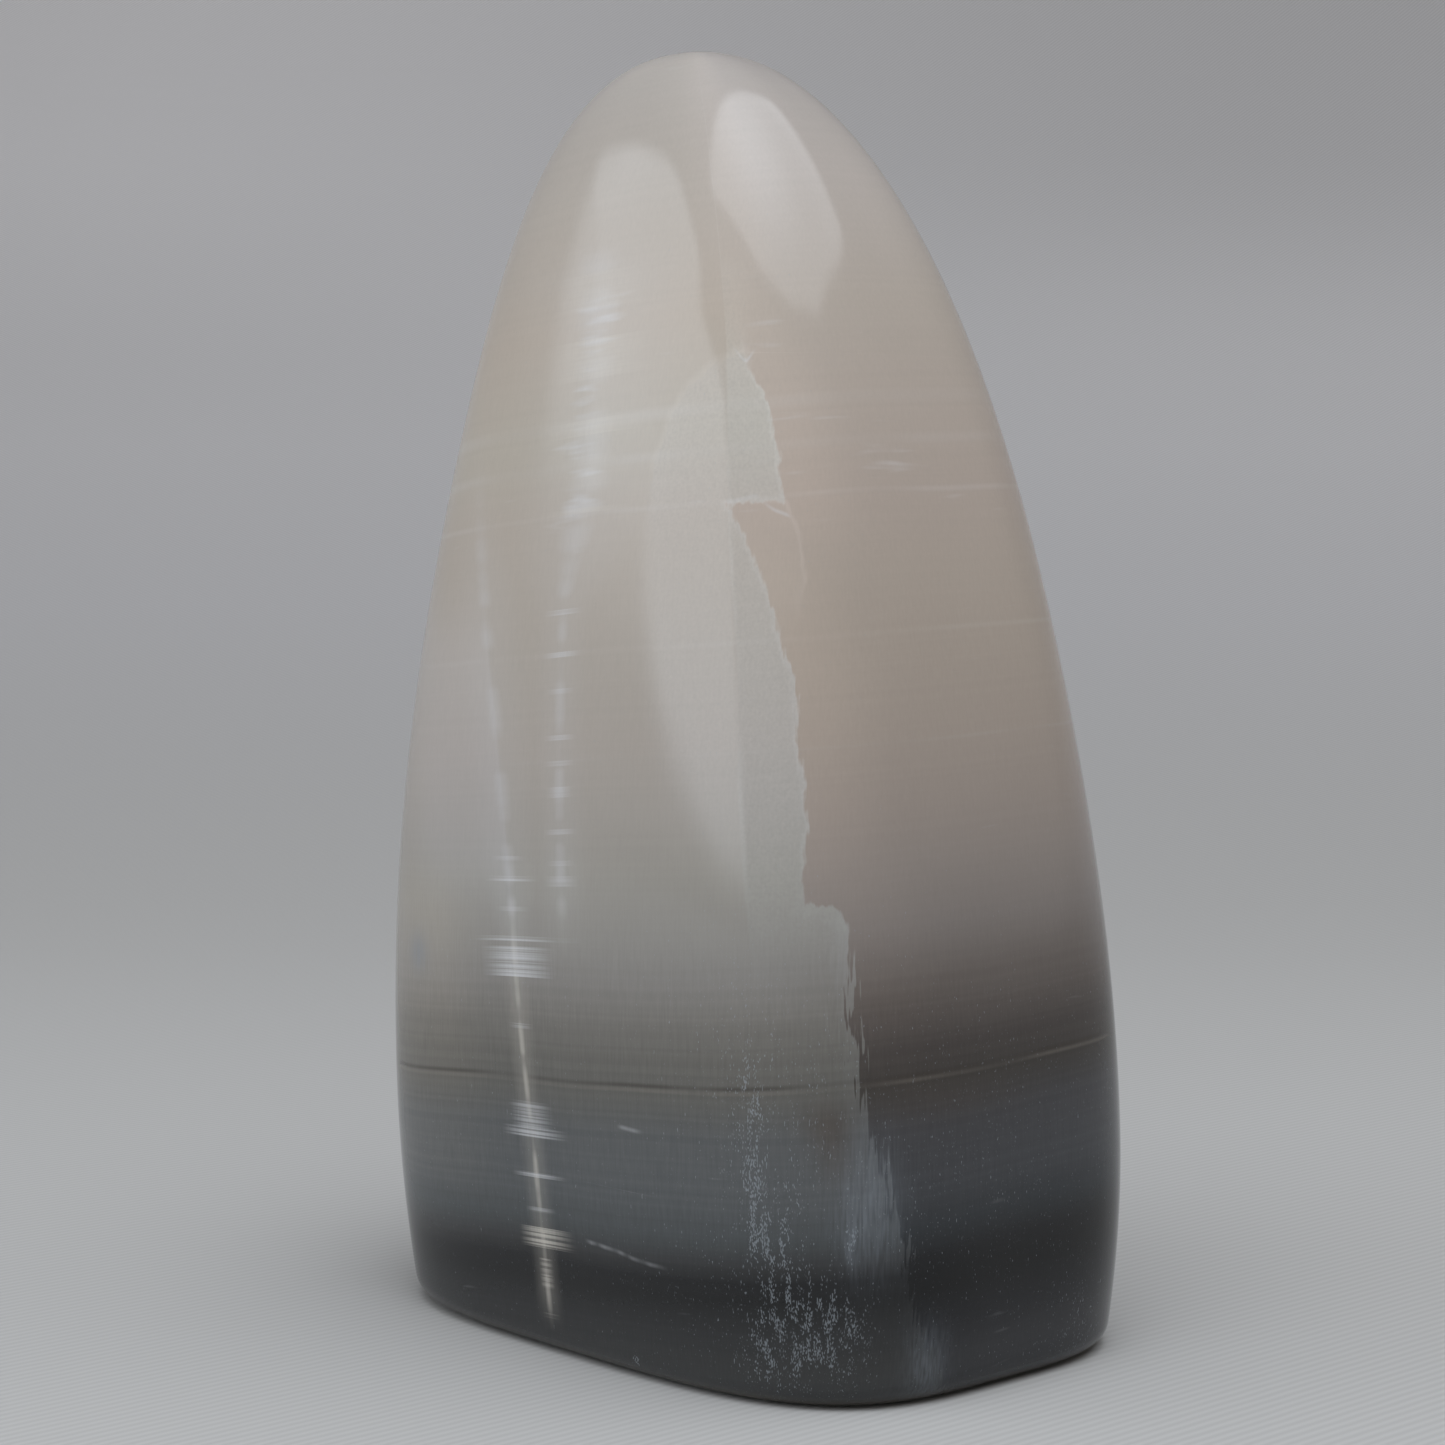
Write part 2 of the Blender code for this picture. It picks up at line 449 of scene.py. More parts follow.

# %% Distance in mm from the two painted highlight streaks along the first two ridges, and their strength
STREAK_REACH = 20
low_share = ease(height, 2.5, 7) * ease(-height, -98, -80) * (0.90 + 0.10 * ease(-height, -52, -36))
high_share = ease(height, 42, 54) * ease(-height, -120, -114) * 0.9
GLINT_STREAKS = (("streak_one", RIDGE_PATHS[0], low_share), ("streak_two", RIDGE_PATHS[1], high_share))
for name, path, strength in GLINT_STREAKS:
    off = aside(path)
    keep(name, np.clip(off, -30, 30))
    keep(name + "_share", np.where(np.abs(off) < STREAK_REACH, strength, 0))


# %% [markdown]
# ## Small tools for node trees
#
# A finish is a tree of nodes. These helpers place a node with its settings and inputs in one line,
# so the cells below read like the recipe they are. An input may be a number, a colour or another
# node's output, and the helper links it or sets it. An output knows the tree that it belongs to,
# so most helpers find the tree by themselves.

# %% Helpers that place and join nodes
def fill(node, inputs):
    """Link each input that is given as another node's output, and set the others."""
    for key, value in inputs.items():
        if isinstance(value, bpy.types.NodeSocket):
            node.id_data.links.new(value, node.inputs[key])
        else:
            node.inputs[key].default_value = value


def place(tree, kind, inputs=None, **settings):
    """Add a node, change its settings, and fill its named or numbered inputs."""
    node = tree.nodes.new(kind)
    count = len(tree.nodes)
    node.location = (220 * (count % 10), -280 * (count // 10))
    for name, value in settings.items():
        setattr(node, name, value)
    fill(node, inputs or {})
    return node


def join(kind, inputs, **settings):
    """Add a node to the tree that its first linked input comes from."""
    linked = [value for value in inputs.values() if isinstance(value, bpy.types.NodeSocket)]
    return place(linked[0].id_data, kind, inputs, **settings)


def reckon(operation, *values):
    """One Math node: the operation on one, two or three numbers."""
    return join("ShaderNodeMath", dict(enumerate(values)), operation=operation).outputs[0]


def times(product, *factors):
    """The product of two or more numbers."""
    for factor in factors:
        product = reckon("MULTIPLY", product, factor)
    return product


def line(value, slope, start):
    """A straight line over a value: the slope times the value, plus the start."""
    return reckon("MULTIPLY_ADD", value, slope, start)


def step(value, start, end, low=0.0, high=1.0):
    """A smooth step of a value between start and end, from low to high."""
    inputs = {"Value": value, "From Min": start, "From Max": end, "To Min": low, "To Max": high}
    return join("ShaderNodeMapRange", inputs, interpolation_type="SMOOTHSTEP").outputs[0]


def blend(factor, first, second, mode="MIX"):
    """One Mix node for colours, from the first to the second by the factor."""
    inputs = {0: factor, 6: first, 7: second}
    return join("ShaderNodeMix", inputs, data_type="RGBA", blend_type=mode).outputs[2]


# %% Helpers for places and patterns
def height_of(spot):
    """The third number of a place, which is its height above the table in metres."""
    return join("ShaderNodeSeparateXYZ", {0: spot}).outputs[2]


def compare(operation, first, second):
    """One Vector Math node on two places, with its outputs Vector and Value."""
    return join("ShaderNodeVectorMath", {0: first, 1: tuple(second)}, operation=operation).outputs


def along(spot, direction):
    """How far a place lies along a direction: their dot product."""
    return compare("DOT_PRODUCT", spot, direction)["Value"]


def stretch(vector, factors):
    """A place multiplied by three factors, which stretches a pattern."""
    return compare("MULTIPLY", vector, factors)["Vector"]


def scaled(vector, factor):
    """A colour or a place times one number."""
    return join("ShaderNodeVectorMath", {0: vector, "Scale": factor}, operation="SCALE").outputs[0]


def speckle(vector, scale, detail=2.0, roughness=0.5):
    """Noise of one to a few layers at a scale, from 0 to 1."""
    inputs = {"Vector": vector, "Scale": scale, "Detail": detail, "Roughness": roughness}
    return join("ShaderNodeTexNoise", inputs).outputs[0]


def streaks(vector, factors, detail=1.0):
    """Noise in a stretched place, with about so many marks to the metre in each direction."""
    return speckle(stretch(vector, factors), 1.0, detail)


def stripes(depth, scale, detail):
    """Noise that changes with depth alone, so that it is the same all over a layer."""
    inputs = {"W": depth, "Scale": scale, "Detail": detail}
    return join("ShaderNodeTexNoise", inputs, noise_dimensions="1D").outputs[0]


# %% Helpers for colours and groups
def colour(red, green, blue):
    """A screen colour of 0 to 255 as the linear colour that a shader needs."""
    shares = [channel / 255 for channel in (red, green, blue)]
    linear = [s / 12.92 if s <= 0.04045 else ((s + 0.055) / 1.055) ** 2.4 for s in shares]
    return (*linear, 1.0)


def ramp(share, stops, interpolation="LINEAR"):
    """A colour ramp over a share of 0 to 1, whose stops are given as (share, colour) in order."""
    node = join("ShaderNodeValToRGB", {"Fac": share})
    node.color_ramp.interpolation = interpolation
    elements = node.color_ramp.elements
    while len(elements) < len(stops):
        elements.new(1.0)
    for element, (at_share, shade) in zip(elements, stops):
        element.position = at_share
        element.color = shade
    return node.outputs["Color"]


def new_group(name, inputs, outputs):
    """A shader node group with its sockets, as (tree, its inputs, its output node)."""
    tree = bpy.data.node_groups.new(name, "ShaderNodeTree")
    for label, kind in inputs:
        tree.interface.new_socket(label, in_out="INPUT", socket_type="NodeSocket" + kind)
    for label, kind in outputs:
        tree.interface.new_socket(label, in_out="OUTPUT", socket_type="NodeSocket" + kind)
    return tree, tree.nodes.new("NodeGroupInput").outputs, tree.nodes.new("NodeGroupOutput")


def use(group, inputs):
    """Place a node group, fill its inputs, and return its outputs."""
    return join("ShaderNodeGroup", inputs, node_tree=group).outputs


print("a mid-grey of 128 is", round(colour(128, 128, 128)[0], 3), "in linear light")

# %% [markdown]
# ## Depth in the layers
#
# Calcite of this kind was laid down in flat sheets. The stone was cut a little askew to them, so a
# layer sits higher at one side than at the other. Depth is therefore not the height: it is the
# distance along the layers' own normal, with a slight waviness, and everything that belongs to a
# layer is looked up by it. A group does this once, and both finishes of the stone use it.

# %% Node group: depth in the layers, in mm
LAYER_TILT = (-83.5, -28.0, 1000.0)
LAYER_WAVE = 0.9
depth_group, entry, leave = new_group("layer_depth", (("Place", "Vector"),), (("Depth", "Float"),))
broad = speckle(entry["Place"], 30.0, 1.0)
wave = line(broad, 2 * LAYER_WAVE, -LAYER_WAVE)
depth = reckon("ADD", along(entry["Place"], LAYER_TILT), wave)
fill(leave, {"Depth": depth})
lean = math.atan2(math.hypot(*LAYER_TILT[:2]), LAYER_TILT[2])
print("layers lean", round(math.degrees(lean), 1), "degrees")

# %% [markdown]
# ## The colour of each layer
#
# Two colour ramps over the depth hold the layers of the clear crystal and of the smoky one. Both
# go from slate over near black and slate again through a brown layer to grey and cream, and the
# smoky one is darker and rosier. The colours are written as a screen shows them and set in linear
# light. Thin layers come from noise that changes with depth alone.

# %% Colours of the layers, as (depth in mm, red, green, blue)
DEEPEST = -5.0
HIGHEST = 140.0
CLEAR_LAYERS = (
    (-5, 62, 64, 66), (2, 61, 62, 62), (6, 49, 50, 51), (9.5, 28, 29, 30), (11.5, 31, 32, 34),
    (13, 55, 56, 57), (16, 79, 83, 85), (20, 93, 96, 98), (26, 97, 99, 100), (30, 103, 102, 98),
    (34, 113, 111, 106), (38, 131, 128, 123), (42, 146, 143, 139), (46, 157, 154, 149),
    (52, 168, 164, 157), (58, 177, 171, 164), (66, 184, 176, 168), (74, 187, 179, 170),
    (82, 190, 181, 171), (90, 192, 182, 171), (98, 195, 187, 175), (110, 196, 185, 173),
    (124, 191, 183, 174), (136, 181, 175, 169),
)
SMOKY_LAYERS = (
    (-5, 50, 52, 56), (2, 52, 53, 56), (6, 28, 29, 33), (9.5, 10, 11, 13), (11.5, 13, 14, 16),
    (13, 23, 24, 27), (16, 49, 53, 57), (20, 68, 70, 74), (26, 68, 68, 71), (30, 61, 57, 53),
    (34, 75, 69, 66), (38, 104, 97, 93), (42, 124, 117, 113), (46, 141, 134, 130),
    (52, 156, 147, 141), (58, 166, 155, 147), (66, 175, 163, 153), (74, 180, 168, 157),
    (82, 184, 172, 161), (90, 187, 174, 164), (98, 190, 178, 168), (110, 190, 180, 170),
    (124, 189, 181, 175), (136, 181, 175, 171),
)


def layer_ramp(share, layers):
    """A colour ramp with one stop for each layer, at its depth as a share of the whole depth."""
    span = HIGHEST - DEEPEST
    return ramp(share, [((at_depth - DEEPEST) / span, colour(*shown)) for at_depth, *shown in layers])


# %% Node group: colours of the layers
layer_inputs = (("Depth", "Float"), ("Smoky", "Float"), ("Place", "Vector"))
layer_outputs = (("Color", "Color"), ("Patch", "Float"))
layer_group, entry, leave = new_group("layer_colours", layer_inputs, layer_outputs)
span = {"Value": entry["Depth"], "From Min": DEEPEST, "From Max": HIGHEST}
share = join("ShaderNodeMapRange", span).outputs[0]
clear = layer_ramp(share, CLEAR_LAYERS)
smoky = layer_ramp(share, SMOKY_LAYERS)
both = blend(entry["Smoky"], clear, smoky)
thin = stripes(entry["Depth"], 1.3, 2.0)
patch = speckle(stretch(entry["Place"], (1, 1, 0.5)), 60.0, 1.0)
lively = step(entry["Depth"], 31.0, 48.0, 0.25, 0.04)
uneven = times(reckon("SUBTRACT", thin, 0.5), lively)
factor = reckon("ADD", uneven, line(patch, 0.08, 0.96))
fill(leave, {"Color": scaled(both, factor), "Patch": patch})
print(len(CLEAR_LAYERS), "stops in each ramp of layers")

# %% [markdown]
# ## Single layers that stand out
#
# A few thin sheets are darker, browner or whiter than their neighbours. Each is a narrow peak over
# the depth that fades out within a fraction of a millimetre, and the patches of the stone make it
# stronger in one place than in another, as layers in stone are.

# %% Node group: one thin sheet
sheet_inputs = (("Depth", "Float"), ("Level", "Float"), ("Half", "Float"), ("Patch", "Float"))
sheet_group, entry, leave = new_group("thin_sheet", sheet_inputs, (("Mask", "Float"),))
off = reckon("ABSOLUTE", reckon("SUBTRACT", entry["Depth"], entry["Level"]))
near = reckon("SUBTRACT", 1.0, reckon("DIVIDE", off, entry["Half"]))
patchy = step(entry["Patch"], 0.36, 0.6, 0.25, 1.0)
fill(leave, {"Mask": times(step(near, 0.0, 1.0), patchy)})

# %% [markdown]
# ## A ragged edge
#
# The crystals are bundles of upright fibres, so where two of them meet low on the stone, the line is a
# fringe of fine needle tips, and higher up it is a line with small steps. One group makes the fringe, as
# noise that is narrow sideways and tall upwards, and another adds it to a signed gap and cuts the sum off at
# zero. Just before the cut a thin rim gets a painted highlight, where light catches the ends of the fibres.

# %% Node group: needle fringe, in mm
fringe_group, entry, leave = new_group("needle_fringe", (("Place", "Vector"),), (("Jag", "Float"),))
needles = streaks(entry["Place"], (2900, 2900, 190))
steps = streaks(entry["Place"], (800, 800, 520))
reach_out = step(height_of(entry["Place"]), 0.050, 0.042, 0.8, 4.4)
jag = times(reckon("SUBTRACT", needles, 0.5), reach_out)
jag = reckon("ADD", jag, line(steps, 1.1, -0.55))
fill(leave, {"Jag": jag})

# %% Node group: ragged edge
edge_inputs = (("Gap", "Float"), ("Jag", "Float"), ("Soft", "Float"), ("Rim", "Float"))
edge_group, entry, leave = new_group("ragged_edge", edge_inputs, (("Mask", "Float"), ("Rim", "Float")))
torn = reckon("ADD", entry["Gap"], entry["Jag"])
mask = step(reckon("DIVIDE", torn, entry["Soft"]), -1.0, 1.0)
rim_start = step(reckon("DIVIDE", torn, entry["Rim"]), -1.0, 0.0)
fill(leave, {"Mask": mask, "Rim": reckon("SUBTRACT", rim_start, mask)})

# %% [markdown]
# ## Fibres, flecks and milk
#
# Under the polish the stone is full of fine upright fibres, a tenth of a millimetre wide. White
# flecks are short breaks along them. Milk is lens-shaped and lies flat in the layers. All three are
# noise in the stone's own space, only stretched in different ways.

# %% Node group: upright fibres
fibre_group, entry, leave = new_group("upright_fibres", (("Place", "Vector"),), (("Fine", "Float"),))
fine = streaks(entry["Place"], (4200, 4200, 330))
fill(leave, {"Fine": fine})

# %% Node group: white flecks
fleck_inputs = (("Place", "Vector"), ("Amount", "Float"))
fleck_group, entry, leave = new_group("white_flecks", fleck_inputs, (("Mask", "Float"),))
dashes = streaks(entry["Place"], (8600, 8600, 3000), 0.0)
trains = streaks(entry["Place"], (1300, 1300, 420))
crowd = times(entry["Amount"], step(trains, 0.36, 0.62, 0.35, 1.3))
over = reckon("ADD", dashes, line(crowd, 0.26, -0.80))
fill(leave, {"Mask": step(over, 0.0, 0.14)})

# %% Node group: milky lenses in the layers
milk_inputs = (("Place", "Vector"), ("Depth", "Float"), ("Amount", "Float"))
milk_group, entry, leave = new_group("milky_lenses", milk_inputs, (("Mask", "Float"),))
wide = join("ShaderNodeSeparateXYZ", {0: scaled(entry["Place"], 140.0)}).outputs
lens = {0: wide[0], 1: wide[1], 2: times(entry["Depth"], 1.1)}
body = speckle(join("ShaderNodeCombineXYZ", lens).outputs[0], 1.0, 1.0, 0.6)
over = reckon("ADD", body, line(entry["Amount"], 0.34, -0.74))
fill(leave, {"Mask": step(over, 0.0, 0.40)})

# %% [markdown]
# ## Painted highlight streaks
#
# Two thin upright highlights run up the broad side along the first two ridges, painted into the colour as
# two soft white lines. Where a streak crosses certain layers, its painted highlight spreads a few
# millimetres along them in short bars. The line is cut from the distance attribute, and the crossing bars
# from a ramp over the depth with hard stops, one of whose channels holds a bar's strength and another its
# length.

# %% Bars of the painted highlight streaks, as (depth, thickness, half length in mm, strength)
LOW_STREAK_BARS = (
    (5.0, 0.4, 1.8, 0.4), (9.6, 2.8, 1.3, 0.5), (13.3, 2.2, 5.0, 0.9), (16.5, 0.4, 3.0, 0.4),
    (20.3, 0.8, 5.5, 0.7), (24.7, 1.0, 6.6, 0.75), (26.8, 2.6, 4.6, 0.55), (33.1, 0.5, 4.2, 0.5),
    (36.0, 0.4, 2.5, 0.3), (43.0, 3.2, 6.4, 0.85), (45.6, 0.6, 7.6, 0.8), (48.6, 0.4, 3.0, 0.4),
    (51.8, 0.6, 4.6, 0.7), (54.0, 0.4, 3.0, 0.35),
)
HIGH_STREAK_BARS = (
    (45.5, 0.4, 3.2, 0.4), (51.7, 0.6, 2.6, 0.45), (53.6, 0.4, 2.2, 0.3), (56.8, 0.4, 2.6, 0.4),
    (61.0, 1.2, 2.2, 0.45), (64.0, 0.4, 2.8, 0.4), (66.9, 0.4, 2.8, 0.5), (71.7, 0.4, 2.8, 0.4),
    (75.5, 0.6, 3.6, 0.6), (80.0, 0.7, 3.8, 0.5), (90.4, 0.7, 9.0, 0.36), (94.4, 3.6, 6.5, 0.20),
    (98.8, 1.6, 9.5, 0.40), (106.5, 4.6, 8.5, 0.36), (113.8, 4.0, 7.5, 0.24),
)
BAR_SPAN = 140.0
LONGEST_BAR = 10.0
NO_BAR = (0.0, 0.1, 0.0, 1.0)


def bar_stops(bars):
    """Stops of a ramp over the depth: where a bar starts, its strength is the red channel and its
    half length, as a share of the longest, the green one, and where it ends there is no bar."""
    stops = [(0.0, NO_BAR)]
    for at_depth, thick, half_length, strength in bars:
        stops.append(((at_depth - thick / 2) / BAR_SPAN, (strength, half_length / LONGEST_BAR, 0.0, 1.0)))
        stops.append(((at_depth + thick / 2) / BAR_SPAN, NO_BAR))
    return stops


def painted_streak(name, bars, between):
    """A node group for one painted highlight streak: a soft core along the line, and bars at certain depths
    that fade over their length and are drawn in fine lines, with a share of their strength between them."""
    inputs = (("Aside", "Float"), ("Depth", "Float"), ("Patch", "Float"), ("Core", "Float"))
    tree, entry, leave = new_group(name, inputs, (("Core", "Float"), ("Bar", "Float")))
    bar_ramp = ramp(reckon("DIVIDE", entry["Depth"], BAR_SPAN), bar_stops(bars), "CONSTANT")
    channels = join("ShaderNodeSeparateColor", {"Color": bar_ramp}).outputs
    off = reckon("ABSOLUTE", entry["Aside"])
    longest = line(entry["Patch"], LONGEST_BAR, 0.5 * LONGEST_BAR)
    half_length = times(channels["Green"], longest)
    lines = stripes(entry["Depth"], 3.2, 1.0)
    leafed = times(channels["Red"], step(lines, 0.36, 0.60, between, 1.0))
    bar = times(leafed, step(reckon("DIVIDE", off, half_length), 1.0, 0.05))
    beads = step(stripes(entry["Depth"], 0.22, 1.0), 0.36, 0.60, 0.40, 1.0)
    widths = reckon("DIVIDE", off, entry["Core"])
    core = times(beads, step(widths, 1.0, 0.0))
    core = reckon("MAXIMUM", core, step(widths, 3.2, 0.0, 0.0, 0.30))
    fill(leave, {"Core": core, "Bar": bar})
    return tree


low_streak = painted_streak("low_painted_streak", LOW_STREAK_BARS, 0.25)
high_streak = painted_streak("high_painted_streak", HIGH_STREAK_BARS, 0.60)
print(len(LOW_STREAK_BARS), "and", len(HIGH_STREAK_BARS), "bars on the two painted_highlight_lines")

# %% [markdown]
# ## The polished finish
#
# On the real stone, light goes a little way in before it comes back. To scatter it costs a renderer much
# time, so this finish is a clear gloss over plain colour, and the layers tell the depth. The colour starts
# with the layers, then each crystal tints it, with a painted reflection and painted highlights among the
# tints, then thin sheets, milk, painted highlight streaks and flecks are laid over it, from the largest to
# the smallest. Gloss and relief follow the same marks, because soft layers polish less well than hard ones.

# %% The coordinates and attributes of the polished stone
CALCITE_IOR = 1.46


def new_finish(name):
    """A new material, with its node tree, its shader and the place of a point on the piece."""
    finish = bpy.data.materials.new(name)
    finish.use_nodes = True
    tree = finish.node_tree
    spot = place(tree, "ShaderNodeTexCoord").outputs["Object"]
    return finish, tree, tree.nodes["Principled BSDF"], spot


def stored(name):
    """The number that the mesh stores under a name."""
    return place(tree, "ShaderNodeAttribute", attribute_name=name).outputs["Fac"]


def smoky_edge():
    """The mask and the painted highlight rim of the smoky crystal, the fringe and the height. The edge is
    sharp on the front and soft towards the crown, and its painted highlight rim is wider where the fringe
    is."""
    up = height_of(spot)
    jag = use(fringe_group, {"Place": spot})["Jag"]
    soft = step(up, 0.103, 0.120, 0.22, 9.0)
    rim = step(up, 0.046, 0.056, 2.2, 0.7)
    return use(edge_group, {"Gap": stored("smoky_gap"), "Jag": jag, "Soft": soft, "Rim": rim}), jag, up


def coat(finish, base, roughness, relief, bump_strength, bump_distance):
    """Set the shader of a finish of the stone from a colour, a roughness and a relief whose height
    is given in metres, and give the finish to the stone."""
    raised = {"Height": relief, "Strength": bump_strength, "Distance": bump_distance}
    normal = join("ShaderNodeBump", raised).outputs["Normal"]
    fill(shader, {"Base Color": base, "Roughness": roughness, "Normal": normal, "IOR": CALCITE_IOR})
    mesh.materials.append(finish)


polished, tree, shader, spot = new_finish("polished_calcite")
depth = use(depth_group, {"Place": spot})["Depth"]
smoky, jag, up = smoky_edge()
small_jag = times(jag, 0.5)
leaf_soft = step(up, 0.084, 0.094, 3.0, 0.18)
leaf = use(edge_group, {"Gap": stored("leaf_gap"), "Jag": small_jag, "Soft": leaf_soft, "Rim": 1.2})
lobe_soft = step(up, 0.080, 0.085, 1.5, 0.25)
lobe = use(edge_group, {"Gap": stored("lobe_gap"), "Jag": small_jag, "Soft": lobe_soft, "Rim": 0.55})
layers = use(layer_group, {"Depth": depth, "Smoky": smoky["Mask"], "Place": spot})
patch = layers["Patch"]
in_layer = {"Depth": depth, "Patch": patch}

# %% Shares of the crystals and of painted light, each kept between two heights in metres or two distances in mm
outside = reckon("SUBTRACT", 1.0, smoky["Mask"])
leaf_rise = times(step(up, 0.052, 0.066, 0.0, 0.55), step(up, 0.084, 0.095, 1.0, 1.8))
leaf_share = times(leaf["Mask"], leaf_rise)
past_keel = times(step(stored("keel_gap"), -0.2, 0.2), step(stored("keel_gap"), 11.0, 8.5))
strip_share = times(past_keel, step(up, 0.040, 0.056))
near_edge = step(stored("smoky_gap"), 10.0, 0.5)
beside_share = times(smoky["Mask"], near_edge, step(up, 0.024, 0.030))
lobe_share = times(lobe["Mask"], step(up, 0.076, 0.083), smoky["Mask"])
SHOULDER = 0.0522
off_shoulder = reckon("ABSOLUTE", reckon("SUBTRACT", up, SHOULDER))
# Painted highlight: rims along the edges of the smoky crystal, the lobe and the leaf.
glint_rim_level = times(step(up, 0.112, 0.104), step(up, 0.046, 0.056, 1.0, 0.75))
glint_rim_share = times(smoky["Rim"], glint_rim_level, step(off_shoulder, 0.0010, 0.0030, 0.35, 1.0))
lobe_glint_rim = times(lobe["Rim"], smoky["Mask"], step(up, 0.078, 0.084))
leaf_glint_rim = times(leaf["Rim"], step(up, 0.092, 0.096), 0.6)
from_streak_one = stored("streak_one")
# Painted reflection: a band up to 26 mm left of the first streak, between about 54 and 84 mm high.
left_reflection_band = times(step(from_streak_one, 0.3, -0.3), step(from_streak_one, -26.0, -12.0))
painted_left_reflection = times(left_reflection_band, step(up, 0.084, 0.072), step(up, 0.044, 0.054))
foot_band = times(step(up, 0.013, 0.018), step(up, 0.054, 0.044))
foot_share = times(step(from_streak_one, -4.0, -16.0), foot_band)

# %% Tints of the crystals and of painted light, as the factors of red, green and blue where a share is one
# The rim tint is a painted highlight.
GLINT_RIM_TINT = (1.12, 1.14, 1.17)
# The leaf tint is partly the leaf's own paler colour and partly a painted reflection.
TINTS = ((times(leaf_share, outside), (1.04, 1.06, 1.09)),
         (times(strip_share, outside), (1.06, 1.085, 1.105)),
         (beside_share, (1.10, 1.09, 1.08)), (lobe_share, (1.03, 1.035, 1.04)),
         (glint_rim_share, GLINT_RIM_TINT), (lobe_glint_rim, GLINT_RIM_TINT), (leaf_glint_rim, GLINT_RIM_TINT),
         # The left tint is a painted reflection.
         (painted_left_reflection, (1.08, 1.10, 1.15)), (foot_share, (1.15, 1.12, 1.08)))
tinted = layers["Color"]
for share, factors in TINTS:
    tinted = blend(share, tinted, blend(1.0, tinted, (*factors, 1.0), "MULTIPLY"))
print(len(TINTS), "tints on the colours of the layers")

# %% Thin sheets of their own colour, as (depth, half thickness, strength, colour)
SHEETS = (
    (31.05, 0.38, 0.55, colour(58, 50, 44)), (30.6, 0.35, 0.25, colour(140, 132, 122)),
    (36.4, 1.0, 0.10, colour(70, 64, 60)), (64.5, 0.35, 0.12, colour(196, 192, 188)),
    (75.8, 0.4, 0.10, colour(205, 203, 200)), (90.1, 0.5, 0.14, colour(226, 225, 224)),
    (95.3, 0.9, 0.15, colour(226, 225, 224)), (99.7, 1.1, 0.16, colour(226, 225, 224)),
)
for at_depth, half, strength, sheet_colour in SHEETS:
    sheet = use(sheet_group, {"Level": at_depth, "Half": half, **in_layer})["Mask"]
    tinted = blend(times(sheet, strength), tinted, sheet_colour)

# %% Stain, and milk, two of whose clouds are a painted highlight
STAIN_COLOUR = colour(84, 74, 66)
MILK_AND_GLINT_WHITE = colour(226, 228, 232)
stained = blend(times(stored("stain_cloud"), 0.75), tinted, STAIN_COLOUR)
milk_and_glint = use(milk_group, {"Place": spot, "Depth": depth, "Amount": stored("milk_and_glint_cloud")})["Mask"]
milk_and_glint_laid = blend(times(milk_and_glint, 0.42), stained, MILK_AND_GLINT_WHITE)

# %% Painted highlight streaks and seams: the streaks are creamy near the foot and on the crown and white between
GLINT_CREAM = colour(222, 217, 207)
low_half = step(depth, 40.0, 60.0, 0.85, 2.3)
high_half = step(depth, 78.0, 92.0, 1.6, 5.5)
one = use(low_streak, {"Aside": from_streak_one, "Core": low_half, **in_layer})
two = use(high_streak, {"Aside": stored("streak_two"), "Core": high_half, **in_layer})
share_one = stored("streak_one_share")
share_two = stored("streak_two_share")
bars = reckon("MAXIMUM", times(one["Bar"], share_one), times(two["Bar"], share_two))
cores = reckon("MAXIMUM", times(one["Core"], share_one), times(two["Core"], share_two))
# The cores and bars are painted highlights; the seams below are white hair lines of the stone itself.
core_colour = blend(step(depth, 40.0, 52.0), GLINT_CREAM, MILK_AND_GLINT_WHITE)
streaked = blend(times(cores, step(depth, 42.0, 60.0, 0.50, 0.30)), milk_and_glint_laid, core_colour)
bar_colour = blend(step(depth, 15.0, 17.0), GLINT_CREAM, MILK_AND_GLINT_WHITE)
bar_colour = blend(step(depth, 84.0, 90.0), bar_colour, GLINT_CREAM)
streaked = blend(times(bars, 0.78), streaked, bar_colour)
hair = step(reckon("ABSOLUTE", stored("seam_gap")), 0.36, 0.0)
streaked = blend(times(hair, stored("seam_share"), 0.34), streaked, MILK_AND_GLINT_WHITE)

# %% Fibres, flecks and dust
FLECK_COLOUR = colour(158, 166, 174)
VEIL_AND_GLINT_COLOUR = colour(138, 146, 156)
DUST_COLOUR = colour(150, 140, 126)
fibre = use(fibre_group, {"Place": spot})
fleck = use(fleck_group, {"Place": spot, "Amount": stored("fleck_cloud")})["Mask"]
# The veil's spot at the far left edge is a painted highlight.
veiled_and_glinted = blend(times(stored("veil_and_glint_cloud"), fibre["Fine"]), streaked, VEIL_AND_GLINT_COLOUR)
lively = step(up, 0.030, 0.052, 0.30, 0.07)
uneven = times(reckon("SUBTRACT", fibre["Fine"], 0.5), lively)
grain = speckle(spot, 3000.0, 1.0)
frosted = times(reckon("MAXIMUM", leaf_share, strip_share), outside)
frost = times(reckon("SUBTRACT", grain, 0.5), step(frosted, 0.0, 1.0, 0.03, 0.16))
fibred = scaled(veiled_and_glinted, reckon("ADD", reckon("ADD", uneven, frost), 1.0))
flecked = blend(times(fleck, 0.5), fibred, FLECK_COLOUR)
dusty = step(up, 0.0016, 0.0002, 0.0, 0.45)
final = blend(times(dusty, patch), flecked, DUST_COLOUR)

# %% Gloss and relief
gloss = line(patch, 0.08, 0.03)
gloss = line(fleck, 0.25, gloss)
gloss = line(milk_and_glint, 0.05, gloss)
relief_sum = line(fleck, -0.8, times(fibre["Fine"], 0.5))
coat(polished, final, gloss, relief_sum, 0.25, 0.00004)
print("polished finish has", len(tree.nodes), "nodes")

